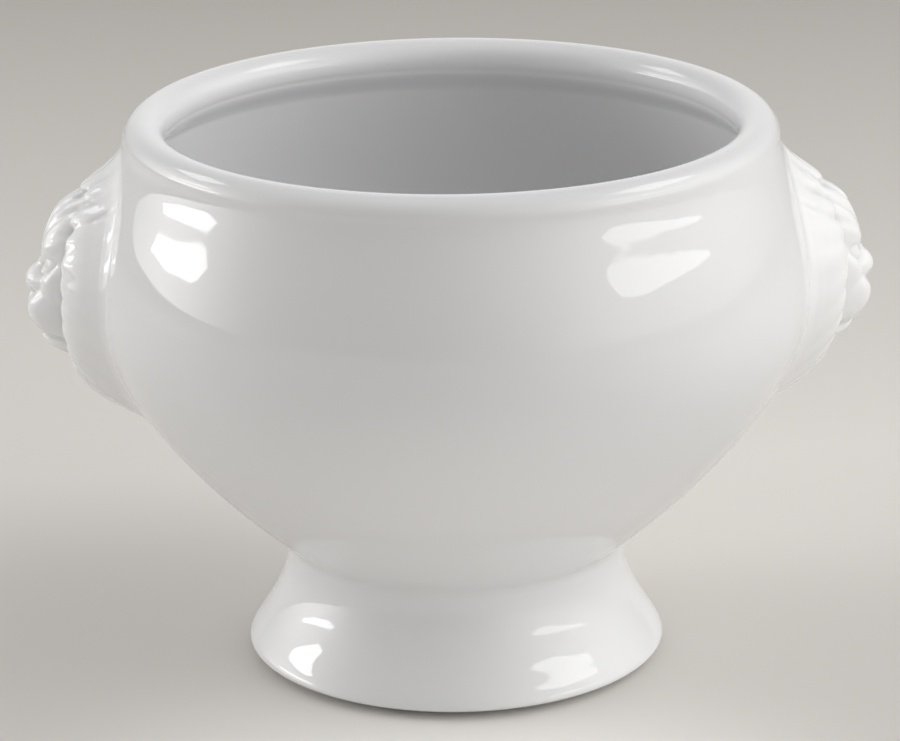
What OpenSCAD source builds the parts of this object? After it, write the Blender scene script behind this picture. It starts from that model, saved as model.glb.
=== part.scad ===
// Footed soup crock in white glazed porcelain, with a lion's head on each side.
// Millimetres, +Z up. The origin is on the table, in the middle of the foot,
// and the two heads lie along X.

/* [Bowl] */
// Outside diameter of the rolled rim
rim_d = 120; // [110:1:130]
// Largest diameter of the bowl, at its shoulder
shoulder_d = 133.2; // [126:0.2:144]
// Height of the shoulder above the top of the foot
shoulder_h = 51.2; // [45:0.1:58]
// Height of the top of the rim above the shoulder
neck_h = 32.1; // [28:0.1:38]
// Thickness of the bowl's wall
wall_t = 5; // [3.5:0.1:6]
// Thickness of the bowl's floor above the foot
floor_t = 6.2; // [4:0.1:9]
// Radius of the glaze-filled corner where the bowl meets the foot
waist_fillet = 3; // [1:0.1:4]

/* [Rolled rim] */
// Breadth of the roll, from its outer to its inner edge
lip_w = 7.6; // [6.6:0.1:9]
// Depth of the roll, from top to bottom
lip_h = 7.2; // [5.5:0.1:8.5]
// Height over which the roll's underside runs back into the inner wall
lip_cove_h = 5; // [3:0.1:8]

/* [Foot] */
// Height of the foot
foot_h = 20.9; // [16:0.1:28]
// Diameter of the waist, where the foot carries the bowl
waist_d = 63; // [56:0.5:70]
// Largest diameter of the foot, just above the table
foot_d = 78.6; // [74:0.2:86]
// Height of the foot's largest diameter above the table
foot_bulge_h = 2.3; // [1.8:0.1:4]
// How far the bare ring that stands on the table lies inside the foot's edge
ring_inset = 5.7; // [4:0.1:7]
// Width of that bare ring
ring_w = 4; // [3:0.1:5]
// Thickness of the foot's wall at the waist
foot_wall_t = 4.5; // [3:0.1:6]

/* [Lion heads] */
// Width of the mane, from side to side
head_w = 36; // [30:0.5:44]
// Height of the mane, from its crest to the tip of the beard
head_h = 52; // [44:0.5:56]
// Height of the middle between the two heads above the bowl's shoulder
head_lift = 0.5; // [0:0.1:4]
// How much lower the right head was laid on than the left one
head_step = 2.4; // [0:0.1:3]
// How far the nose stands out from the bowl
head_proud = 12.4; // [8:0.1:15]
// Thickness of the clay at the mane's edge
head_edge_t = 0.5; // [0.3:0.05:1]
// Layer of slip between a head and the bowl
slip_t = 0.15; // [0.1:0.05:0.3]

/* [Hidden] */

rim_r = rim_d / 2;
shoulder_r = shoulder_d / 2;
waist_r = waist_d / 2;
shoulder_z = foot_h + shoulder_h;
rim_z = shoulder_z + neck_h;
lip_z = rim_z - lip_h / 2;
floor_z = foot_h + floor_t;
head_z = shoulder_z + head_lift;

// Steps along each curve of a wall, and round a turned piece
curve_steps = 24;
round_steps = 120;

// A point on a cubic curve with the end points p[0] and p[3] and the handles p[1] and p[2]
function curve_point(p, t) =
    pow(1 - t, 3) * p[0] + 3 * pow(1 - t, 2) * t * p[1]
    + 3 * (1 - t) * t * t * p[2] + pow(t, 3) * p[3];
function curve_slope(p, t) =
    pow(1 - t, 2) * (p[1] - p[0]) + 2 * (1 - t) * t * (p[2] - p[1]) + t * t * (p[3] - p[2]);
function curve(p) = [for (i = [0:curve_steps]) curve_point(p, i / curve_steps)];

// The point that lies a depth inside the wall's outer curve, square to it
function inside_point(p, t, depth) =
    let (s = curve_slope(p, t) / norm(curve_slope(p, t)))
    curve_point(p, t) + depth * [-s[1], s[0]];
function between(a, b, share) = a + (b - a) * share;

// Outer curve of the bowl below its shoulder: it springs from the waist at a slant
// and comes upright at the shoulder
flare_out_share = 0.537;
flare_up_share = 0.3285;
shoulder_up_share = 0.713;
flare_handle = [between(waist_r, shoulder_r, flare_out_share), foot_h + shoulder_h * flare_up_share];
flare_angle = atan2(flare_handle[0] - waist_r, flare_handle[1] - foot_h);
waist_arc_steps = 6;
waist_arc = [for (i = [0:waist_arc_steps])
    let (a = flare_angle * i / waist_arc_steps)
    [waist_r + waist_fillet * (1 - cos(a)), foot_h + waist_fillet * sin(a)]];
low_curve = [
    waist_arc[waist_arc_steps],
    flare_handle,
    [shoulder_r, foot_h + shoulder_h * shoulder_up_share],
    [shoulder_r, shoulder_z]
];

// Outer curve above the shoulder: it draws in to the rim and is upright at both ends
neck_low_share = 0.414;
neck_high_share = 0.848;
high_curve = [
    [shoulder_r, shoulder_z],
    [shoulder_r, between(shoulder_z, lip_z, neck_low_share)],
    [rim_r, between(shoulder_z, lip_z, neck_high_share)],
    [rim_r, lip_z]
];
outer_wall = concat(waist_arc, curve(low_curve), curve(high_curve));

// Radius of the bowl's outside at a height
radius_at_height = [for (p = outer_wall) [p[1], p[0]]];
function bowl_r(z) = lookup(z, radius_at_height);

// The roll of the rim, from its outer edge over the top and round under its inner edge
lip_steps = 30;
lip_turn = 215;
lip_centre = [rim_r - lip_w / 2, lip_z];
function lip_point(a) = lip_centre + [cos(a) * lip_w / 2, sin(a) * lip_h / 2];
lip_roll = [for (i = [0:lip_steps]) lip_point(lip_turn * i / lip_steps)];

// Inside of the bowl: the outer curves at a wall's depth. The wall ends under the roll in
// a cove, and at the floor it leaves the outer curve after the first few steps.
floor_first_step = 3;
high_inside = [for (i = [curve_steps:-1:1]) inside_point(high_curve, i / curve_steps, wall_t)];
low_inside = [for (i = [curve_steps:-1:floor_first_step]) inside_point(low_curve, i / curve_steps, wall_t)];
cove_start = lip_roll[lip_steps];
wall_below_cove = [for (p = high_inside) if (p[1] < cove_start[1] - lip_cove_h) p];
cove_pull_share = 0.35;
cove_curve = [
    cove_start,
    cove_start - [0, lip_cove_h * cove_pull_share],
    wall_below_cove[0] + [0, lip_cove_h * cove_pull_share],
    wall_below_cove[0]
];

// The floor: level in the middle, and rising to the wall along the wall's own slope
wall_foot = low_inside[len(low_inside) - 1];
wall_foot_slope = curve_slope(low_curve, floor_first_step / curve_steps);
floor_run_share = 0.7;
floor_pull_share = 0.72;
floor_flat_share = 0.48;
floor_curve = [
    wall_foot,
    wall_foot - wall_foot_slope * floor_run_share * (wall_foot[1] - floor_z) / wall_foot_slope[1],
    [wall_foot[0] * floor_pull_share, floor_z],
    [wall_foot[0] * floor_flat_share, floor_z]
];

bowl_outline = concat(
    [[0, foot_h]],
    outer_wall,
    lip_roll,
    curve(cove_curve),
    wall_below_cove,
    low_inside,
    curve(floor_curve),
    [[0, floor_z]]
);

// Thrown bowl: the wall, the rolled rim and the flat disc that the foot is joined to
module bowl() {
    color("white")
        rotate_extrude($fn = round_steps)
            polygon(bowl_outline);
}

// Outside of the foot: it rolls under to the ring, and sweeps up to the waist
base_out_share = 0.45;
base_low_share = 0.35;
base_high_share = 0.65;
swell_up_share = 0.104;
sweep_up_share = 0.533;
foot_r = foot_d / 2;
ring_r = foot_r - ring_inset;
base_curve = [
    [ring_r, 0],
    [between(ring_r, foot_r, base_out_share), foot_bulge_h * base_low_share],
    [foot_r, foot_bulge_h * base_high_share],
    [foot_r, foot_bulge_h]
];
sweep_curve = [
    [foot_r, foot_bulge_h],
    [foot_r, between(foot_bulge_h, foot_h, swell_up_share)],
    [waist_r, between(foot_bulge_h, foot_h, sweep_up_share)],
    [waist_r, foot_h]
];

// The hollow under the foot, open to the bowl's underside
hollow_low_share = 0.3;
hollow_high_share = 0.65;
hollow_swell_share = 0.4;
hollow_r = waist_r - foot_wall_t;
ring_inner_r = ring_r - ring_w;
hollow_curve = [
    [hollow_r, foot_h],
    [hollow_r, foot_h * hollow_high_share],
    [ring_inner_r + ring_w * hollow_swell_share, foot_h * hollow_low_share],
    [ring_inner_r, 0]
];

module foot() {
    color("white")
        rotate_extrude($fn = round_steps)
            polygon(concat(curve(base_curve), curve(sweep_curve), curve(hollow_curve)));
}

// A lion's head is a relief over the bowl's side. A place on it is given in shares:
// u is the distance from the middle as a share of half the width, v the height above
// the middle as a share of the height, and a rise is a share of head_proud.
mane_top_share = 0.474;
mane_foot_share = 0.526;
mane_point = 1.75;

// Reach of the mane's edge in the direction phi, in the plane of u and 2 v
function mane_reach(phi) =
    let (half = 2 * (sin(phi) > 0 ? mane_top_share : mane_foot_share))
    pow(pow(abs(cos(phi)), mane_point) + pow(abs(sin(phi)) / half, mane_point), -1 / mane_point);

function clamp_share(x) = min(max(x, 0), 1);
function soft_max(a, b, k) = (a + b + sqrt((a - b) * (a - b) + k * k)) / 2;

// A rounded block: half breadths ru and rv, rise h, squarer in plan as p grows
function block(u, v, u0, v0, ru, rv, h, p) =
    h * pow(max(0, 1 - pow(abs(u - u0) / ru, p) - pow(abs(v - v0) / rv, p)), 1.2);

// Mane: soft locks that sweep out and down from the face, deepest at the top. A lock's
// ridge is where the turn is a whole number.
locks_per_side = 11;
lock_sweep_share = 1.6;
lock_depth_share = 0.1;
function lock_ridge(rho, phi) =
    let (turn = phi / 180 * locks_per_side + lock_sweep_share * (rho - 0.6) + 0.5)
    0.5 + 0.5 * cos(360 * turn);
function mane_rise(rho, phi) =
    let (
        up = max(sin(phi), 0),
        down = max(-sin(phi), 0),
        edge = clamp_share((1 - rho) / (0.44 - 0.09 * down * down)),
        round_over = pow(1 - pow(1 - edge, 2), 1.15 + 0.35 * pow(up, 4)),
        lock_depth = lock_depth_share * (0.3 + 0.7 * up * up + 0.3 * pow(down, 4))
    )
    (0.49 + 0.14 * up + 0.08 * down + 0.04 * pow(down, 3)) * round_over
    * (1 - lock_depth + lock_depth * lock_ridge(rho, phi));

// Groove between the mane and the face. It runs out at the crown and at the beard.
function groove_fall(u, v) =
    let (
        crown = 1 - 0.85 / (1 + exp((0.265 - v) / 0.022)),
        beard = 1 - 0.95 / (1 + exp((v + 0.245) / 0.012)),
        q = pow(pow(u / 0.44, 2.4) + pow(abs(v - 0.03) / 0.31, 2.4), 1 / 2.4)
    )
    0.3 * crown * beard / (1 + exp((q - 1.06) / 0.05));

// Face: an egg-shaped mask with the bridge and tip of the nose, the muzzle's two pads,
// the chin and the eyes on it
function mask_rise(u, v) =
    let (ru = 0.49 - 0.08 * pow(clamp_share((0.06 - v) / 0.3), 1.5))
    0.79 * pow(max(0, 1 - pow(u / ru, 3) - pow(abs(v - 0.03) / 0.32, 5)), 0.6);
function bridge_rise(u, v) =
    let (half = 0.09 + 0.05 * clamp_share((0.11 - v) / 0.13))
    0.1 * pow(clamp_share((half + 0.05 - u) / 0.07), 1.3)
    * clamp_share((0.12 - v) / 0.07) * clamp_share((v + 0.03) / 0.03);
function face_rise(u, v) =
    let (
        nose = block(u, v, 0, 0.026, 0.24, 0.068, 0.18, 2.2),
        pad = block(u, v, 0.15, -0.09, 0.26, 0.095, 0.18, 2.2),
        chin = block(u, v, 0, -0.2, 0.28, 0.065, 0.15, 2.2),
        eye = block(u, v - 0.12 * (u - 0.25), 0.25, 0.089, 0.1, 0.028, 0.09, 2)
    )
    mask_rise(u, v) + soft_max(nose, max(bridge_rise(u, v), pad), 0.02) + chin + eye;

// Soft swellings and dents, each [u, v, breadth in u, breadth in v, slant, rise]
feature_shares = [
    [0, 0.3, 0.3, 0.05, 0, 0.07], // crown
    [0, 0.338, 0.36, 0.014, -0.02, -0.08], // crease behind the crown
    [0.19, 0.195, 0.15, 0.05, 0, 0.01], // boss of the forehead
    [0, 0.205, 0.06, 0.06, 0, -0.03], // furrow between the bosses
    [0, 0.12, 0.14, 0.035, 0, -0.04], // root of the nose
    [0.25, 0.15, 0.15, 0.028, 0.17, 0.03], // brow
    [0.25, 0.09, 0.12, 0.036, 0.12, -0.13], // eye socket
    [0.26, 0.119, 0.1, 0.016, 0.16, 0.02], // upper eyelid
    [0.36, 0.025, 0.1, 0.06, 0, 0.06], // cheekbone
    [0.115, -0.015, 0.045, 0.015, -0.1, -0.07], // nostril
    [0, -0.06, 0.04, 0.03, 0, -0.05], // cleft under the nose
    [0.62, 0.3, 0.1, 0.034, 0.25, 0.06], // ear
    [0.62, 0.3, 0.065, 0.018, 0.25, -0.08] // hollow of the ear
];
function bump(f, u, v) =
    f[5] * exp(-pow((u - f[0]) / f[2], 2) - pow((v - f[1] - f[4] * (u - f[0])) / f[3], 2));
function feature_rise(u, v) = [for (f = feature_shares) bump(f, u, v)] * [for (f = feature_shares) 1];

// The mouth is a wavy groove below the pads, and the creases between the locks run on
// over the crown
function mouth_fall(u, v) =
    let (line = -0.163 - 0.02 * sin(180 * clamp_share(u / 0.4)) - 0.02 * clamp_share((u - 0.25) / 0.15))
    0.07 * exp(-pow((v - line) / 0.02, 2)) * clamp_share((0.38 - u) / 0.08);
function fringe_fall(v, rho, phi) =
    0.05 * pow(1 - lock_ridge(rho, phi), 2)
    * clamp_share((rho - 0.3) / 0.15) * clamp_share((v - 0.18) / 0.1) * clamp_share((1 - rho) / 0.3);

function head_rise(u, v, rho, phi) =
    max(0, soft_max(mane_rise(rho, phi) - groove_fall(u, v), face_rise(u, v), 0.06)
        - 0.03 * clamp_share((1 - rho) / 0.1)
        + feature_rise(u, v) - mouth_fall(u, v) - fringe_fall(v, rho, phi))
    * clamp_share((1 - rho) / 0.001);

// A head's points lie on rings round its middle, which is at the height middle_z. The rings lie closer together
// towards the mane's edge, where the relief is steep.
head_rings = 26;
head_spokes = 120;
head_back_rings = 4;
function ring_share(i) = between(i / head_rings, sin(90 * i / head_rings), 0.5);

// A point of the head at the ring rho and the direction phi, lifted off the bowl's side
function head_point(rho, phi, front, middle_z) =
    let (
        reach = rho * mane_reach(phi),
        u = reach * cos(phi),
        v = reach * sin(phi) / 2,
        y = u * head_w / 2,
        z = middle_z + v * head_h,
        side = asin(sin(phi)),
        lift = front ? head_edge_t + head_proud * head_rise(abs(u), v, rho, side) : slip_t
    )
    [sqrt(pow(bowl_r(z), 2) - y * y) + lift, y, z];

function head_points(middle_z) = concat(
    [head_point(0, 0, true, middle_z)],
    [for (i = [1:head_rings], j = [0:head_spokes - 1])
        head_point(ring_share(i), 360 * j / head_spokes, true, middle_z)],
    [head_point(0, 0, false, middle_z)],
    [for (i = [1:head_back_rings], j = [0:head_spokes - 1])
        head_point(i / head_back_rings, 360 * j / head_spokes, false, middle_z)]
);
head_back_start = 1 + head_rings * head_spokes;
function spoke(j) = j % head_spokes;
function front_index(i, j) = 1 + (i - 1) * head_spokes + spoke(j);
function back_index(i, j) = head_back_start + front_index(i, j);
head_faces = concat(
    [for (j = [0:head_spokes - 1]) [0, front_index(1, j + 1), front_index(1, j)]],
    [for (i = [1:head_rings - 1], j = [0:head_spokes - 1])
        [front_index(i, j), front_index(i, j + 1), front_index(i + 1, j + 1)]],
    [for (i = [1:head_rings - 1], j = [0:head_spokes - 1])
        [front_index(i, j), front_index(i + 1, j + 1), front_index(i + 1, j)]],
    [for (j = [0:head_spokes - 1])
        [front_index(head_rings, j), front_index(head_rings, j + 1), back_index(head_back_rings, j + 1)]],
    [for (j = [0:head_spokes - 1])
        [front_index(head_rings, j), back_index(head_back_rings, j + 1), back_index(head_back_rings, j)]],
    [for (i = [1:head_back_rings - 1], j = [0:head_spokes - 1])
        [back_index(i, j), back_index(i + 1, j + 1), back_index(i, j + 1)]],
    [for (i = [1:head_back_rings - 1], j = [0:head_spokes - 1])
        [back_index(i, j), back_index(i + 1, j), back_index(i + 1, j + 1)]],
    [for (j = [0:head_spokes - 1]) [head_back_start, back_index(1, j), back_index(1, j + 1)]]
);

// Pressed head, laid on the bowl's side with slip
module lion_head(turn, middle_z) {
    color("white")
        rotate([0, 0, turn])
            polyhedron(points = head_points(middle_z), faces = head_faces, convexity = 8);
}

module lion_head_right() lion_head(0, head_z - head_step / 2);
module lion_head_left() lion_head(180, head_z + head_step / 2);

bowl();
foot();
lion_head_left();
lion_head_right();
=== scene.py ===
"""Looks of a footed soup crock in white glazed porcelain with a lion's head on each side."""
import math

import bpy
import numpy as np
from mathutils import Matrix, Vector


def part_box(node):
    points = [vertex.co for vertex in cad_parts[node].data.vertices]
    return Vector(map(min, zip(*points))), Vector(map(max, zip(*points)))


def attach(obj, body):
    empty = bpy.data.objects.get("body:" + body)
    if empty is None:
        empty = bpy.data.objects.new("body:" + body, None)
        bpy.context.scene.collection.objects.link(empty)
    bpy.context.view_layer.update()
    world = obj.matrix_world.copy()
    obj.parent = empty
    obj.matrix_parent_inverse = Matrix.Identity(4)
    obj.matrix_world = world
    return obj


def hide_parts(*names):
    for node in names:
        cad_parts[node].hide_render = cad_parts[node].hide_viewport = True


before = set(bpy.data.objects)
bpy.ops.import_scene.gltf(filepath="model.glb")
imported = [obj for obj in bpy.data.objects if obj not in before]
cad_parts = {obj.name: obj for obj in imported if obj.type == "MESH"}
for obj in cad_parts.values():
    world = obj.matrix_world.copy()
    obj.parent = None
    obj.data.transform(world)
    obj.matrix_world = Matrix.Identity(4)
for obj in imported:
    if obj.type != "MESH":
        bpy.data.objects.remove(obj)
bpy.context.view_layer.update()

MM = 0.001

# The bowl is thrown from one lump of porcelain, with its rim rolled over and a flat disc
# left under it for the foot. It is dipped in a clear feldspar glaze that dries glossy and
# shows a little grey where it runs thick. The grey inside its well is painted shade.
bowl_low, bowl_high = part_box("bowl")
foot_top = bowl_low.z
shoulder_r = bowl_high.y
rim_z = bowl_high.z
rim_r = 60 * MM
waist_r = 31.5 * MM
waist_fillet = 3 * MM
shoulder_z = foot_top + 51.2 * MM
lip_w, lip_h = 7.6 * MM, 7.2 * MM
lip_z = rim_z - lip_h / 2
lip_turn = math.radians(215)
lip_cove_h = 5 * MM
wall_t = 5 * MM
floor_z = foot_top + 6.2 * MM
round_steps = 320


def between(a, b, share):
    """The point that lies the given share of the way from a to b."""
    return a + (b - a) * share


def curve(handles, steps):
    """Points of a cubic curve: its four handles weighted by (1-t)^3, 3(1-t)^2 t, 3(1-t)t^2 and t^3."""
    t = np.linspace(0, 1, steps + 1)[:, None]
    a, b, c, d = np.array(handles, float)
    return (1 - t) ** 3 * a + 3 * (1 - t) ** 2 * t * b + 3 * (1 - t) * t * t * c + t ** 3 * d


def curve_slope(handles, steps):
    """Unit tangents at the same points: the handles' three differences weighted as a square curve."""
    t = np.linspace(0, 1, steps + 1)[:, None]
    a, b, c, d = np.array(handles, float)
    slope = (1 - t) ** 2 * (b - a) + 2 * (1 - t) * t * (c - b) + t * t * (d - c)
    return slope / np.linalg.norm(slope, axis=1)[:, None]


def inside(handles, steps, amount):
    """The curve moved a depth to its left, which is square to it and into the wall."""
    s = curve_slope(handles, steps)
    return curve(handles, steps) + amount * np.column_stack([-s[:, 1], s[:, 0]])


# Outside, from the waist up: a small arc, a flare to the upright shoulder, and the neck
flare_out_share, flare_up_share, shoulder_up_share = 0.537, 0.3285, 0.713
neck_low_share, neck_high_share = 0.414, 0.848
waist_steps, low_steps, high_steps = 8, 56, 40
flare_handle = (between(waist_r, shoulder_r, flare_out_share), between(foot_top, shoulder_z, flare_up_share))
flare_angle = math.atan2(flare_handle[0] - waist_r, flare_handle[1] - foot_top)
arc = np.linspace(0, flare_angle, waist_steps + 1)
waist_arc = np.column_stack([
    waist_r + waist_fillet * (1 - np.cos(arc)),
    foot_top + waist_fillet * np.sin(arc),
])
low_wall = [
    waist_arc[-1],
    flare_handle,
    (shoulder_r, between(foot_top, shoulder_z, shoulder_up_share)),
    (shoulder_r, shoulder_z),
]
high_wall = [
    (shoulder_r, shoulder_z),
    (shoulder_r, between(shoulder_z, lip_z, neck_low_share)),
    (rim_r, between(shoulder_z, lip_z, neck_high_share)),
    (rim_r, lip_z),
]
outer_wall = np.vstack([waist_arc[:-1], curve(low_wall, low_steps)[:-1], curve(high_wall, high_steps)])

# The roll of the rim, and the cove under its inner edge
cove_pull_share = 0.35
lip_steps, cove_steps = 43, 12
turn = np.linspace(0, lip_turn, lip_steps + 1)
lip_roll = np.column_stack([rim_r - lip_w / 2 + lip_w / 2 * np.cos(turn), lip_z + lip_h / 2 * np.sin(turn)])
high_inside = inside(high_wall, high_steps, wall_t)[::-1]
high_inside = high_inside[high_inside[:, 1] < lip_roll[-1, 1] - lip_cove_h]
pull = (0, cove_pull_share * lip_cove_h)
cove = curve([lip_roll[-1], lip_roll[-1] - pull, high_inside[0] + pull, high_inside[0]], cove_steps)

# The floor: level in the middle, and rising to the wall along the wall's own slope
floor_run_share, floor_pull_share, floor_flat_share = 0.7, 0.72, 0.48
floor_steps = 20
wall_foot_step = low_steps // 8
low_inside = inside(low_wall, low_steps, wall_t)[:wall_foot_step - 1:-1]
wall_foot = low_inside[-1]
wall_foot_slope = curve_slope(low_wall, low_steps)[wall_foot_step]
floor_curve = curve([
    wall_foot,
    wall_foot - wall_foot_slope * floor_run_share * (wall_foot[1] - floor_z) / wall_foot_slope[1],
    (floor_pull_share * wall_foot[0], floor_z),
    (floor_flat_share * wall_foot[0], floor_z),
], floor_steps)

# The whole outline, with rings of points across the disc underneath and the middle of the floor
underside_shares, floor_middle_shares = (0.25, 0.6, 0.9), (0.24, 0.08)
underside = [(share * waist_r, foot_top) for share in underside_shares]
floor_middle = [(share * wall_foot[0], floor_z) for share in floor_middle_shares]
bowl_outline = np.vstack([
    underside, outer_wall, lip_roll[1:], cove[1:], high_inside[1:], low_inside[1:-1],
    floor_curve, floor_middle,
])


def clamp(x):
    """Keeps a share between 0 and 1."""
    return np.clip(x, 0, 1)


def eased(x):
    """A share that leaves 0 and reaches 1 without a corner: 3x^2 - 2x^3."""
    x = clamp(x)
    return x * x * (3 - 2 * x)


wave_swing, ridge_swing = 0.05 * MM, 0.002 * MM
throwing_fade_h = 10 * MM


def throwing_marks(r, z, angle):
    """Swing of the bowl's radius: two low waves round it, and two sets of fine ridges from the fingers,
    each a sine of angle and height. They fade out at the foot and towards the middle."""
    waves = np.cos(2 * angle + 0.9) + 0.6 * np.sin(3 * angle + 60 * z)
    ridges = np.sin(900 * z + 0.5 * np.sin(angle)) + 0.5 * np.sin(1700 * z + 2 * angle)
    swing = wave_swing * waves + ridge_swing * ridges
    return swing * eased((z - foot_top) / throwing_fade_h) * clamp(r / shoulder_r)


def grid_faces(rows, columns):
    """Four-cornered faces between neighbouring rows of points, each row closed round its columns."""
    i, j = np.meshgrid(np.arange(rows - 1), np.arange(columns), indexing="ij")
    here, beside = i * columns + j, i * columns + (j + 1) % columns
    return np.stack([here, beside, beside + columns, here + columns], axis=-1).reshape(-1, 4)


def capped_faces(rows, columns, bottom, top):
    """Grid faces with a fan to a single point at each end, so that both poles are closed."""
    j = np.arange(columns)
    k = (j + 1) % columns
    last = (rows - 1) * columns
    under = np.column_stack([np.full(columns, bottom), k, j])
    over = np.column_stack([last + j, last + k, np.full(columns, top)])
    return grid_faces(rows, columns).tolist() + under.tolist() + over.tolist()


def turned_points(outline, segments, marks):
    """Every outline point (r, z) carried round the Z axis, its radius swung by the marks."""
    angle = np.linspace(0, 2 * np.pi, segments, endpoint=False)[None, :]
    r, z = outline[:, :1], outline[:, 1:]
    swung = r + marks(r, z, angle)
    return np.stack([swung * np.cos(angle), swung * np.sin(angle), z + 0 * angle], axis=-1).reshape(-1, 3)


def mesh_piece(name, points, faces, finish):
    """A piece with its points in the shared frame, smooth but for its sharp edges, riding on the one body."""
    crease = math.radians(40)
    mesh = bpy.data.meshes.new(name)
    mesh.from_pydata(points.tolist(), [], faces)
    mesh.shade_smooth()
    mesh.set_sharp_from_angle(angle=crease)
    mesh.materials.append(finish)
    piece = bpy.data.objects.new(name, mesh)
    bpy.context.scene.collection.objects.link(piece)
    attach(piece, "root")
    return piece


def feed(tree, source, target):
    """Links another node's output to a socket, or sets the socket to a plain value."""
    if isinstance(source, bpy.types.NodeSocket):
        tree.links.new(source, target)
    else:
        target.default_value = source


def maths(tree, operation, *values):
    """The result of one operation on up to three values or outputs."""
    node = tree.nodes.new("ShaderNodeMath")
    node.operation = operation
    for value, target in zip(values, node.inputs):
        feed(tree, value, target)
    return node.outputs["Value"]


def spread(tree, value, low, high, start, end, bend="LINEAR"):
    """A value carried from the span low to high onto the span start to end, and held at both ends."""
    node = tree.nodes.new("ShaderNodeMapRange")
    node.interpolation_type = bend
    for source, target in zip((value, low, high, start, end), node.inputs):
        feed(tree, source, target)
    return node.outputs["Result"]


def mixed(tree, share, a, b, kind="RGBA"):
    """The colour, or number, that lies the given share of the way from a to b."""
    node = tree.nodes.new("ShaderNodeMix")
    node.data_type = kind
    for source, name in ((share, "Factor"), (a, "A"), (b, "B")):
        feed(tree, source, node.inputs[name])
    return node.outputs["Result"]


def patches(tree, place, scale, detail):
    """Soft random patches round a half: a noise of a scale per metre, with detail finer ones laid over it."""
    noise = tree.nodes.new("ShaderNodeTexNoise")
    for source, name in ((place, "Vector"), (scale, "Scale"), (detail, "Detail")):
        feed(tree, source, noise.inputs[name])
    return noise.outputs["Fac"]


def white_glaze_group():
    """Colour, roughness and normal of the glaze: faint clouds, whitened by painted light and greyed by
    pooled glaze and painted shade, with a few iron specks, uneven gloss and a slight orange peel."""
    cloud_light, cloud_dark = (0.82, 0.82, 0.826, 1), (0.78, 0.782, 0.791, 1)
    painted_light_white, pool_and_shade_grey = (0.9, 0.9, 0.905, 1), (0.695, 0.7, 0.71, 1)
    iron_brown = (0.36, 0.3, 0.24, 1)
    cloud_scale, gloss_scale, peel_scale = 38, 60, 210
    speck_scale, speck_core, speck_edge, speck_rarity = 70, 0.008, 0.02, 0.86
    glossiest, dullest = 0.02, 0.055
    peel_strength, peel_depth = 0.25, 0.05 * MM

    group = bpy.data.node_groups.new("white_glaze", "ShaderNodeTree")
    sockets = (("INPUT", "Painted_light", "Float"), ("INPUT", "Pool_and_painted_shade", "Float"), ("OUTPUT", "Color", "Color"),
               ("OUTPUT", "Roughness", "Float"), ("OUTPUT", "Normal", "Vector"))
    for way, name, kind in sockets:
        group.interface.new_socket(name=name, in_out=way, socket_type="NodeSocket" + kind)
    amount = group.nodes.new("NodeGroupInput").outputs
    out = group.nodes.new("NodeGroupOutput").inputs
    place = group.nodes.new("ShaderNodeTexCoord").outputs["Object"]

    clouds = mixed(group, patches(group, place, cloud_scale, 3), cloud_light, cloud_dark)
    # Painted light: the first input's share whitens the glaze
    painted_lighter = mixed(group, amount["Painted_light"], clouds, painted_light_white)
    # Pooled glaze on the heads and painted shade in the bowl's well grey it by the second input's share
    pooled_and_shaded = mixed(group, amount["Pool_and_painted_shade"], painted_lighter, pool_and_shade_grey)

    cells = group.nodes.new("ShaderNodeTexVoronoi")
    feed(group, place, cells.inputs["Vector"])
    feed(group, speck_scale, cells.inputs["Scale"])
    chosen = group.nodes.new("ShaderNodeSeparateColor")
    feed(group, cells.outputs["Color"], chosen.inputs["Color"])
    near = spread(group, cells.outputs["Distance"], speck_core, speck_edge, 1, 0)
    rare = maths(group, "GREATER_THAN", chosen.outputs["Red"], speck_rarity)
    speck = maths(group, "MULTIPLY", near, rare)
    feed(group, mixed(group, speck, pooled_and_shaded, iron_brown), out["Color"])

    uneven = patches(group, place, gloss_scale, 2)
    feed(group, spread(group, uneven, 0, 1, glossiest, dullest), out["Roughness"])

    peel = group.nodes.new("ShaderNodeBump")
    feed(group, peel_strength, peel.inputs["Strength"])
    feed(group, peel_depth, peel.inputs["Distance"])
    feed(group, patches(group, place, peel_scale, 1), peel.inputs["Height"])
    feed(group, peel.outputs["Normal"], out["Normal"])
    return group


white_glaze = white_glaze_group()


def glazed(name):
    """A glossy material over the glaze group, with its shader and the group for the piece to add to."""
    finish = bpy.data.materials.new(name)
    finish.use_nodes = True
    tree = finish.node_tree
    shader = tree.nodes["Principled BSDF"]
    shader.inputs["IOR"].default_value = 1.52
    glaze = tree.nodes.new("ShaderNodeGroup")
    glaze.node_tree = white_glaze
    for output, target in (("Color", "Base Color"), ("Roughness", "Roughness"), ("Normal", "Normal")):
        feed(tree, glaze.outputs[output], shader.inputs[target])
    return finish, shader, glaze


def glaze_with_pool_and_painted_light(name, painted_light_share):
    """A glazed material whitened by a share of painted light, greyed by the points' pool and painted shade.
    """
    finish, _, glaze = glazed(name)
    glaze.inputs["Painted_light"].default_value = painted_light_share
    amount = finish.node_tree.nodes.new("ShaderNodeAttribute")
    amount.attribute_name = "glaze_pool_and_painted_shade"
    feed(finish.node_tree, amount.outputs["Fac"], glaze.inputs["Pool_and_painted_shade"])
    return finish


def set_pool_and_painted_shade(piece, amounts):
    """Stores, from 0 to 1, each point's pooled glaze on a head and painted shade in the bowl's well."""
    pooled_and_shaded = piece.data.attributes.new("glaze_pool_and_painted_shade", "FLOAT", "POINT")
    pooled_and_shaded.data.foreach_set("value", amounts.astype(np.float32))


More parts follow.
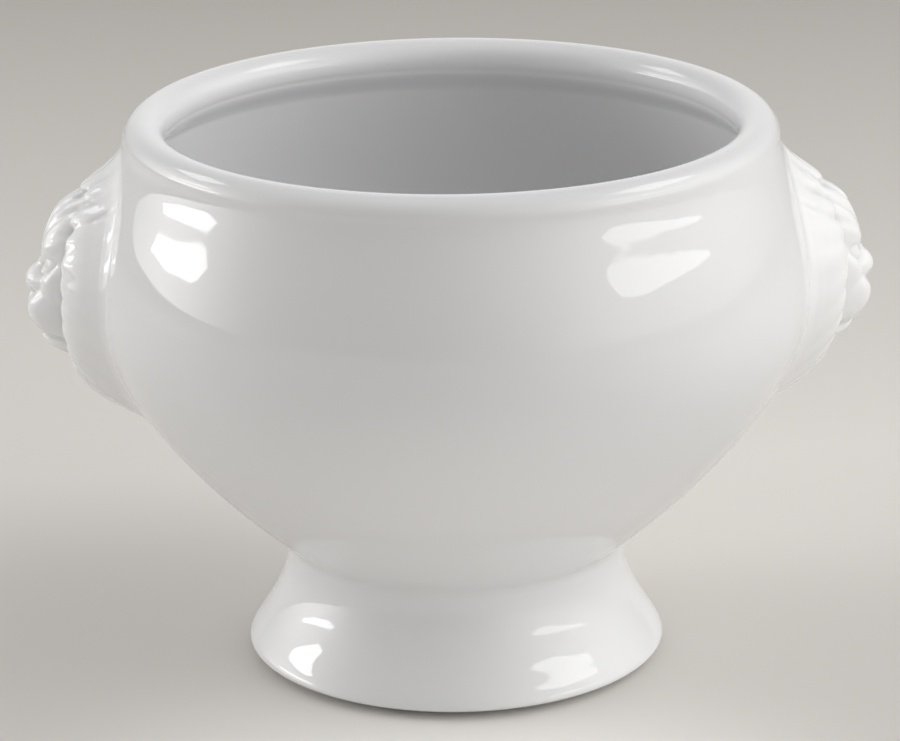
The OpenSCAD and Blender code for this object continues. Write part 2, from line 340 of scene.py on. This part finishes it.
# The bowl's well, its inner wall and floor, is greyed all over as painted shade
painted_well_shade = 0.35
bowl_rows = len(bowl_outline)
bowl_points = np.vstack([
    turned_points(bowl_outline, round_steps, throwing_marks),
    [(0, 0, foot_top), (0, 0, floor_z)],
])
pole = bowl_rows * round_steps
bowl_faces = capped_faces(bowl_rows, round_steps, pole, pole + 1)
thrown_bowl = mesh_piece("thrown_bowl", bowl_points, bowl_faces, glaze_with_pool_and_painted_light("bowl_glaze", 0))
cove_row = len(underside) + len(outer_wall) + len(lip_roll) - 1
in_well = np.arange(bowl_rows) > cove_row
set_pool_and_painted_shade(thrown_bowl, np.append(np.repeat(in_well * painted_well_shade, round_steps), [0, painted_well_shade]))
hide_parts("bowl")

# The foot is turned as a hollow ring and luted to the disc with slip. It is glazed inside
# and out, and its underside is wiped bare so that it doesn't stick to the kiln shelf.
foot_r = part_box("foot")[1].y
bulge_z = 2.3 * MM
ring_inset, ring_w = 5.7 * MM, 4 * MM
ring_r = foot_r - ring_inset
ring_inner_r = ring_r - ring_w
foot_wall_t = 4.5 * MM
hollow_r = waist_r - foot_wall_t
base_out_share, base_low_share, base_high_share = 0.45, 0.35, 0.65
swell_up_share, sweep_up_share = 0.104, 0.533
hollow_low_share, hollow_high_share, hollow_swell_share = 0.3, 0.65, 0.4
base_steps, sweep_steps, hollow_steps = 24, 48, 32
base_curve = [
    (ring_r, 0),
    (between(ring_r, foot_r, base_out_share), base_low_share * bulge_z),
    (foot_r, base_high_share * bulge_z),
    (foot_r, bulge_z),
]
sweep_curve = [
    (foot_r, bulge_z),
    (foot_r, between(bulge_z, foot_top, swell_up_share)),
    (waist_r, between(bulge_z, foot_top, sweep_up_share)),
    (waist_r, foot_top),
]
hollow_curve = [
    (hollow_r, foot_top),
    (hollow_r, hollow_high_share * foot_top),
    (ring_inner_r + hollow_swell_share * ring_w, hollow_low_share * foot_top),
    (ring_inner_r, 0),
]
foot_outline = np.vstack([
    curve(base_curve, base_steps),
    curve(sweep_curve, sweep_steps)[1:],
    [(between(waist_r, hollow_r, 0.5), foot_top)],
    curve(hollow_curve, hollow_steps),
    [(between(ring_inner_r, ring_r, 0.5), 0)],
])
foot_wave_swing = 0.03 * MM
turning_fade_h = 8 * MM


def turning_marks(r, z, angle):
    """Swing of the foot's radius, less than the bowl's because a blade turns it: two low waves round it,
    each a sine of angle and height. They fade out at the joint."""
    waves = np.cos(2 * angle + 2.1) + 2 / 3 * np.sin(3 * angle + 120 * z)
    return foot_wave_swing * waves * eased((foot_top - z) / turning_fade_h)


# The wiped edge of the glaze wanders up and down by a few tenths of a millimetre
wipe_wander, wipe_scale, grit_scale = 0.9 * MM, 130, 900
bare_below, glazed_above = -0.25 * MM, -0.1 * MM
clay_dark, clay_light, clay_roughness = (0.62, 0.57, 0.5, 1), (0.78, 0.75, 0.7, 1), 0.7
foot_finish, shader, glaze = glazed("foot_glaze")
tree = foot_finish.node_tree
place = tree.nodes.new("ShaderNodeTexCoord").outputs["Object"]
height = tree.nodes.new("ShaderNodeSeparateXYZ")
feed(tree, place, height.inputs["Vector"])
edge = maths(tree, "MULTIPLY_ADD", patches(tree, place, wipe_scale, 2), -wipe_wander, height.outputs["Z"])
bare = spread(tree, edge, bare_below, glazed_above, 1, 0)
clay = mixed(tree, patches(tree, place, grit_scale, 4), clay_dark, clay_light)
feed(tree, mixed(tree, bare, glaze.outputs["Color"], clay), shader.inputs["Base Color"])
dullness = mixed(tree, bare, glaze.outputs["Roughness"], clay_roughness, "FLOAT")
feed(tree, dullness, shader.inputs["Roughness"])

# The foot's outline is a loop, so a last ring of faces joins its last row to its first
foot_rows = len(foot_outline)
last_row = (foot_rows - 1) * round_steps
closing = grid_faces(2, round_steps)
closing = np.where(closing < round_steps, closing + last_row, closing - round_steps)
foot_faces = np.vstack([grid_faces(foot_rows, round_steps), closing])
foot_points = turned_points(foot_outline, round_steps, turning_marks)
turned_foot = mesh_piece("turned_foot", foot_points, foot_faces.tolist(), foot_finish)
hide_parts("foot")

# Each lion's head is pressed in a mould and laid on the bowl's side with slip: a mask with
# brows, a broad nose and whisker pads, in a mane of locks that sweep out and down. Its
# thin glaze softens it, pools in the hollows and fills the corner round the edge.
head_w, head_h = 36 * MM, 52 * MM
head_z = shoulder_z + 0.5 * MM
head_step = 2.4 * MM
head_proud = 12.4 * MM
head_edge_t = 0.5 * MM
mane_top_share, mane_foot_share, mane_point = 0.474, 0.526, 1.75
locks_per_side, lock_sweep_share, lock_depth_share = 11, 1.6, 0.1


def soft_max(a, b, k):
    """The larger of two rises, with a rounded corner of size k where they cross."""
    return (a + b + np.sqrt((a - b) ** 2 + k * k)) / 2


def mane_reach(phi):
    """How far the mane's edge lies from the middle in the direction phi: a rounded diamond."""
    half = 2 * np.where(np.sin(phi) > 0, mane_top_share, mane_foot_share)
    sides = np.abs(np.cos(phi)) ** mane_point + (np.abs(np.sin(phi)) / half) ** mane_point
    return sides ** (-1 / mane_point)


def place_on_mane(rho, phi):
    """Half-widths across and share of the height up of the point (rho, phi) of the mane."""
    reach = rho * mane_reach(phi)
    return reach * np.cos(phi), reach * np.sin(phi) / 2


def lock_ridge(rho, phi):
    """1 on a lock's ridge and 0 in the crease beside it, as a cosine. The locks swing with rho."""
    count = phi / np.pi * locks_per_side + lock_sweep_share * (rho - 0.6) + 0.5
    return 0.5 + 0.5 * np.cos(2 * np.pi * count)


def mane_rise(rho, phi):
    """A raised band that rounds over at its edge and is cut into soft locks, deepest at the top."""
    up, down = np.maximum(np.sin(phi), 0), np.maximum(-np.sin(phi), 0)
    edge = clamp((1 - rho) / (0.44 - 0.09 * down ** 2))
    round_over = (1 - (1 - edge) ** 2) ** (1.15 + 0.35 * up ** 4)
    band = 0.49 + 0.14 * up + 0.08 * down + 0.04 * down ** 3
    amount = lock_depth_share * (0.3 + 0.7 * up ** 2 + 0.3 * down ** 4)
    return band * round_over * (1 - amount + amount * lock_ridge(rho, phi))


def groove_fall(u, v):
    """The groove between the mane and the face, which runs out at the crown and at the beard."""
    crown = 1 - 0.85 / (1 + np.exp((0.265 - v) / 0.022))
    beard = 1 - 0.95 / (1 + np.exp((v + 0.245) / 0.012))
    q = ((u / 0.44) ** 2.4 + (np.abs(v - 0.03) / 0.31) ** 2.4) ** (1 / 2.4)
    return 0.3 * crown * beard / (1 + np.exp((q - 1.06) / 0.05))


def block(u, v, u0, v0, ru, rv, h, p):
    """A rounded block at (u0, v0): 1 - |du/ru|^p - |dv/rv|^p, to the power 1.2, times its rise."""
    return h * np.maximum(0, 1 - np.abs((u - u0) / ru) ** p - np.abs((v - v0) / rv) ** p) ** 1.2


def bridge_rise(u, v):
    """The bridge of the nose: a flat ridge with sloped sides that widens downwards."""
    half = 0.09 + 0.05 * clamp((0.11 - v) / 0.13)
    across = clamp((half + 0.05 - u) / 0.07) ** 1.3
    return 0.1 * across * clamp((0.12 - v) / 0.07) * clamp((v + 0.03) / 0.03)


def face_rise(u, v):
    """An egg-shaped mask with the nose, the muzzle's two pads, the chin and the eyes on it."""
    ru = 0.49 - 0.08 * clamp((0.06 - v) / 0.3) ** 1.5
    mask = 0.79 * np.maximum(0, 1 - (u / ru) ** 3 - (np.abs(v - 0.03) / 0.32) ** 5) ** 0.6
    nose = block(u, v, 0, 0.026, 0.24, 0.068, 0.18, 2.2)
    pad = block(u, v, 0.15, -0.09, 0.26, 0.095, 0.18, 2.2)
    chin = block(u, v, 0, -0.2, 0.28, 0.065, 0.15, 2.2)
    eye = block(u, v - 0.12 * (u - 0.25), 0.25, 0.089, 0.1, 0.028, 0.09, 2)
    return mask + soft_max(nose, np.maximum(bridge_rise(u, v), pad), 0.02) + chin + eye


# Soft swellings and dents: place (u, v), breadths in u and v, slant and rise
feature_shares = {
    "crown": (0, 0.3, 0.3, 0.05, 0, 0.07),
    "crease behind the crown": (0, 0.338, 0.36, 0.014, -0.02, -0.08),
    "forehead boss": (0.19, 0.195, 0.15, 0.05, 0, 0.01),
    "forehead furrow": (0, 0.205, 0.06, 0.06, 0, -0.03),
    "root of the nose": (0, 0.12, 0.14, 0.035, 0, -0.04),
    "brow": (0.25, 0.15, 0.15, 0.028, 0.17, 0.03),
    "eye socket": (0.25, 0.09, 0.12, 0.036, 0.12, -0.13),
    "upper eyelid": (0.26, 0.119, 0.1, 0.016, 0.16, 0.02),
    "cheekbone": (0.36, 0.025, 0.1, 0.06, 0, 0.06),
    "nostril": (0.115, -0.015, 0.045, 0.015, -0.1, -0.07),
    "cleft under the nose": (0, -0.06, 0.04, 0.03, 0, -0.05),
    "ear": (0.62, 0.3, 0.1, 0.034, 0.25, 0.06),
    "hollow of the ear": (0.62, 0.3, 0.065, 0.018, 0.25, -0.08),
}


def feature_rise(u, v):
    """The sum of the features, each a bell curve in u and v times its rise."""
    return sum(height * np.exp(-((u - u0) / su) ** 2 - ((v - v0 - slant * (u - u0)) / sv) ** 2)
               for u0, v0, su, sv, slant, height in feature_shares.values())


def mouth_fall(u, v):
    """The mouth: a wavy groove below the pads, as a bell curve round its line."""
    line = -0.163 - 0.02 * np.sin(np.pi * clamp(u / 0.4)) - 0.02 * clamp((u - 0.25) / 0.15)
    return 0.07 * np.exp(-((v - line) / 0.02) ** 2) * clamp((0.38 - u) / 0.08)


def fringe_fall(v, rho, phi):
    """The creases between the locks, which run on over the crown: 1 less the ridge, squared."""
    crease = 0.05 * (1 - lock_ridge(rho, phi)) ** 2 * clamp((1 - rho) / 0.3)
    return crease * clamp((rho - 0.3) / 0.15) * clamp((v - 0.18) / 0.1)


def head_rise(u, v, rho, phi):
    """The higher of mane and face with every feature added, as a share of the nose's height."""
    relief = soft_max(mane_rise(rho, phi) - groove_fall(u, v), face_rise(u, v), 0.06)
    relief = relief - 0.03 * clamp((1 - rho) / 0.1) + feature_rise(u, v)
    relief = relief - mouth_fall(u, v) - fringe_fall(v, rho, phi)
    return np.maximum(0, relief) * clamp((1 - rho) / 0.001)


# Slip and glaze fill the corner round the head's edge and thin out past it
glaze_fillet = 2.4 * MM
fillet_sink = 0.12 * MM
edge_drop_share = 0.04
slip_spread_share, slip_reach_share = 0.06, 0.18
slip_steps = 25


def pressed_lift(rho, phi):
    """Height of the pressed clay over the bowl's side. Past the edge it is just under that side."""
    u, v = place_on_mane(rho, phi)
    edge = (head_edge_t + fillet_sink) * clamp((1 + edge_drop_share / 2 - rho) / edge_drop_share)
    return edge - fillet_sink + head_proud * head_rise(np.abs(u), v, rho, np.arcsin(np.sin(phi)))


def slipped_lift(rho, phi):
    """The pressed clay's height averaged over a bell curve along rho, which widens towards the edge."""
    steps = np.linspace(-2, 2, slip_steps)
    shares = np.exp(-steps ** 2 / 2)
    spread_share = slip_spread_share * clamp(1 - (1 - edge_drop_share / 2 - rho) / slip_reach_share)
    return sum(share * pressed_lift(rho + step * spread_share, phi)
               for share, step in zip(shares / shares.sum(), steps))


head_spokes, head_rings, fillet_rings = 400, 150, 16
back_ring_shares = (1.0, 0.66, 0.33)
back_depth = 0.5 * MM
full_pool_depth = 0.75 * MM
levelling_rounds = 70
wall_z, wall_r = outer_wall[:, 1], outer_wall[:, 0]


def levelled(lift):
    """The lift with its hollows filled and its ridges worn, round by round, to the mean of its neighbours."""
    level = lift.copy()
    for _ in range(levelling_rounds):
        level[1:-1] = (level[:-2] + level[2:] + np.roll(level[1:-1], 1, 1) + np.roll(level[1:-1], -1, 1)) / 4
        level[0] = level[0].mean()
    return level


def head_grid(middle_z):
    """Points, pooled glaze and number of rings of a head. The rings of the relief, closer towards its edge,
    are followed by those of the fillet and of the back, and then by the front's and the back's middle.
    A point lies its lift off the bowl's side, and glaze pools where the lift is below the levelled one."""
    share = np.arange(1, head_rings + 1) / head_rings
    relief_rho = between(share, np.sin(np.pi / 2 * share), 0.5)
    fillet_rho = 1 + np.arange(1, fillet_rings + 1) / fillet_rings * glaze_fillet / (head_w / 2)
    front_rho = np.concatenate([relief_rho, fillet_rho])[:, None]
    rho = np.vstack([front_rho, np.array(back_ring_shares)[:, None] * front_rho[-1]])
    phi = np.linspace(0, 2 * np.pi, head_spokes, endpoint=False)[None, :]
    front_lift = slipped_lift(front_rho, phi)
    front_pool = clamp((levelled(front_lift) - front_lift) / full_pool_depth)
    behind = (len(back_ring_shares), head_spokes)
    lift = np.vstack([front_lift, np.full(behind, -back_depth)])
    lift = np.append(lift, [pressed_lift(0, 0), -back_depth])
    pool = np.append(np.vstack([front_pool, np.zeros(behind)]), [0, 0])
    u, v = (np.append(place, [0, 0]) for place in place_on_mane(rho, phi))
    y, z = u * head_w / 2, middle_z + v * head_h
    x = np.sqrt(np.interp(z, wall_z, wall_r) ** 2 - y * y) + lift
    return np.column_stack([x, y, z]), pool, len(rho)


# The heads' glaze is whitened all over as painted light, for the brighter light on their sides
head_finish = glaze_with_pool_and_painted_light("head_glaze", 1)
for which, side in (("right", 1), ("left", -1)):
    head_points, head_pool, head_rows = head_grid(head_z - side * head_step / 2)
    middle = head_rows * head_spokes
    head_faces = capped_faces(head_rows, head_spokes, middle, middle + 1)
    mask = mesh_piece("lion_mask_" + which, head_points * (side, side, 1), head_faces, head_finish)
    set_pool_and_painted_shade(mask, head_pool)
    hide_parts("lion_head_" + which)

# The table is a flat sheet of warm grey paper that runs out of sight behind the crock.
# Its colour is darkened with distance as painted fall-off of the light, and it is painted
# lightest just in front of the foot, as a painted pool of the light the white glaze throws on it.
table_half = 4

# Distances behind the crock's middle, and how grey the paper is there with the painted fall-off of the light
paper_greys_painted_falloff = (
    (0, (0.71, 0.684, 0.65, 1)),
    (0.1, (0.765, 0.737, 0.702, 1)),
    (0.267, (0.66, 0.635, 0.602, 1)),
    (0.6, (0.475, 0.451, 0.422, 1)),
)
# A painted pool of light on the paper just in front of the foot: its colour, middle and radii
painted_pool_grey = (0.98, 0.96, 0.93, 1)
painted_pool_middle, painted_pool_core_r, painted_pool_edge_r = (-0.012, -0.1, 0), 0.02, 0.11


def vector_maths(tree, operation, a, b):
    """The number that one operation makes of two vectors: their distance, or their dot product."""
    node = tree.nodes.new("ShaderNodeVectorMath")
    node.operation = operation
    feed(tree, a, node.inputs[0])
    feed(tree, b, node.inputs[1])
    return node.outputs["Value"]


paper = bpy.data.materials.new("grey_paper")
paper.use_nodes = True
tree = paper.node_tree
shader = tree.nodes["Principled BSDF"]
shader.inputs["Roughness"].default_value = 0.8
shader.inputs["Specular IOR Level"].default_value = 0.1
place = tree.nodes.new("ShaderNodeTexCoord").outputs["Object"]
split = tree.nodes.new("ShaderNodeSeparateXYZ")
feed(tree, place, split.inputs["Vector"])
farthest = paper_greys_painted_falloff[-1][0]
shade = tree.nodes.new("ShaderNodeValToRGB")
# Painted fall-off of the light: the paper greys with distance behind the crock
feed(tree, spread(tree, split.outputs["Y"], 0, farthest, 0, 1), shade.inputs["Fac"])
stops = shade.color_ramp.elements
stops.remove(stops[1])
for behind, grey in paper_greys_painted_falloff:
    stop = stops.new(behind / farthest) if behind else stops[0]
    stop.color = grey
# Painted pool of light: the paper whitens towards the spot in front of the foot
from_painted_pool = vector_maths(tree, "DISTANCE", place, painted_pool_middle)
painted_pool = spread(tree, from_painted_pool, painted_pool_core_r, painted_pool_edge_r, 1, 0, "SMOOTHERSTEP")
feed(tree, mixed(tree, painted_pool, shade.outputs["Color"], painted_pool_grey), shader.inputs["Base Color"])
sheet = bpy.data.meshes.new("table")
sheet.from_pydata([(-table_half, -table_half, 0), (table_half, -table_half, 0),
                   (table_half, table_half, 0), (-table_half, table_half, 0)], [], [(0, 1, 2, 3)])
sheet.materials.append(paper)
table = bpy.data.objects.new("table", sheet)
bpy.context.scene.collection.objects.link(table)

# The camera stands where the photograph's did: 0.73 m away, 18.6 degrees above the level,
# and a little to the left lion's side.
photo_w = 900
focal_px = 3793.83
side_turn = math.radians(-4.5)
camera_back, camera_z = 0.672, 0.2798
camera_pitch, camera_yaw, camera_roll = 0.324, -0.001, -0.011


def turned_round(x, y, z):
    """A direction or place of the photograph's own frame, turned about Z into the crock's frame."""
    return Matrix.Rotation(side_turn, 3, "Z") @ Vector((x, y, z))


ahead = turned_round(math.sin(camera_yaw) * math.cos(camera_pitch),
                     math.cos(camera_yaw) * math.cos(camera_pitch), -math.sin(camera_pitch))
level = turned_round(math.cos(camera_yaw), -math.sin(camera_yaw), 0)
above = level.cross(ahead)
right = math.cos(camera_roll) * level + math.sin(camera_roll) * above
upward = math.cos(camera_roll) * above - math.sin(camera_roll) * level
camera = bpy.data.objects.new("camera", bpy.data.cameras.new("camera"))
camera.data.sensor_width = 36
camera.data.lens = focal_px / photo_w * camera.data.sensor_width
camera_place = Matrix.Translation(turned_round(0, -camera_back, camera_z))
camera.matrix_world = camera_place @ Matrix((right, upward, -ahead)).transposed().to_4x4()
bpy.context.scene.collection.objects.link(camera)
bpy.context.scene.camera = camera

# The lamps show in the glaze. On each side two softboxes slant away from the camera, and
# an oblong lamp hangs over them and lights the rim.
lamp_distance = 0.9
lamp_target = turned_round(0, 0, 0.083)

# Corners as azimuth and elevation in degrees, where the photograph's highlights mirror them
right_low_corners = [
    (49.2, 14.8), (50.5, 13.4), (52.8, 11), (57, 10), (61, 9.7), (68, 9.7), (78, 9.2), (83, 8.4), (89, 8),
    (88.7, 8.6), (84, 9.8), (77.5, 11.3), (73.3, 12.1), (66.7, 13.5), (61.1, 14.6), (56.5, 15.3), (53, 15.6),
    (50, 15.5),
]
right_high_corners = [(47, 31), (50, 29), (62, 24.8), (86, 19.3), (88, 20), (60, 29.5)]
left_low_corners = [
    (-109.9, 2.4), (-107, 2.9), (-100, 3.2), (-94, 4.2), (-87.8, 5), (-85.3, 6.5), (-82.5, 9), (-85, 9.7),
    (-87.2, 9.5), (-96.5, 7.1), (-108.6, 4),
]
left_high_corners = [(-112, 10), (-92, 14.5), (-88, 17.5), (-92, 18.5), (-108, 12)]


def bearing(azimuth, elevation):
    """Unit vector at an azimuth (from the camera's side, towards its right) and an elevation, in degrees."""
    a, e = math.radians(azimuth), math.radians(elevation)
    return turned_round(math.sin(a) * math.cos(e), -math.cos(a) * math.cos(e), math.sin(e))


def softbox(name, corners, strength):
    """A glowing sheet with its corners at the given bearings, unseen by the camera itself."""
    face = bpy.data.meshes.new(name)
    face.from_pydata([lamp_target + lamp_distance * bearing(*corner) for corner in corners], [],
                     [tuple(range(len(corners)))])
    glow = bpy.data.materials.new(name)
    glow.use_nodes = True
    shader = glow.node_tree.nodes["Principled BSDF"]
    shader.inputs["Base Color"].default_value = (0, 0, 0, 1)
    shader.inputs["Emission Color"].default_value = (1, 1, 1, 1)
    shader.inputs["Emission Strength"].default_value = strength
    face.materials.append(glow)
    sheet = bpy.data.objects.new(name, face)
    sheet.visible_camera = False
    bpy.context.scene.collection.objects.link(sheet)


def hung_lamp(name, azimuth, elevation, wide, high, radiance):
    """An oblong lamp at a bearing, turned to the crock. Its power is its radiance times pi times its area."""
    lamp = bpy.data.lights.new(name, "AREA")
    lamp.shape = "RECTANGLE"
    lamp.size, lamp.size_y = wide, high
    lamp.energy = radiance * math.pi * wide * high
    away = bearing(azimuth, elevation)
    hung = bpy.data.objects.new(name, lamp)
    lamp_place = Matrix.Translation(lamp_target + lamp_distance * away)
    hung.matrix_world = lamp_place @ away.to_track_quat("Z", "Y").to_matrix().to_4x4()
    bpy.context.scene.collection.objects.link(hung)


softbox("right_low_softbox", right_low_corners, strength=4.6)
softbox("right_high_softbox", right_high_corners, strength=5)
softbox("left_low_softbox", left_low_corners, strength=9)
softbox("left_high_softbox", left_high_corners, strength=9)
hung_lamp("right_lamp", azimuth=97, elevation=48, wide=0.4, high=0.27, radiance=2.7)
hung_lamp("left_lamp", azimuth=-115, elevation=38, wide=0.29, high=0.2, radiance=3.3)

# The room's light comes from broad white walls, each listed as azimuth, elevation,
# sharpness and strength. A wall fades with the angle from its middle: its strength times
# e to the power of its sharpness times (cosine - 1).
walls = {
    "low in front, on the right": (50, 3, 12, 0.7),
    "low on the left": (-100, 5, 10, 3.7),
    "high on the left": (-90, 40, 8, 0.3),
    "high in front, on the right": (37, 33, 6, 0.64),
    "on the right": (90, 25, 6, 2),
    "behind the crock": (180, 15, 6, 0.95),
    "overhead": (0, 85, 8, 0.4),
}
room = bpy.data.worlds.new("room")
room.use_nodes = True
tree = room.node_tree
way = tree.nodes.new("ShaderNodeTexCoord").outputs["Generated"]
total = 0
for azimuth, elevation, sharpness, strength in walls.values():
    cosine = vector_maths(tree, "DOT_PRODUCT", way, bearing(azimuth, elevation))
    wall = maths(tree, "EXPONENT", maths(tree, "MULTIPLY_ADD", cosine, sharpness, -sharpness))
    total = maths(tree, "MULTIPLY_ADD", wall, strength, total)
background = tree.nodes["Background"]
background.inputs["Color"].default_value = (1, 0.995, 0.985, 1)
feed(tree, total, background.inputs["Strength"])
bpy.context.scene.world = room
bpy.context.scene.view_settings.view_transform = "Standard"
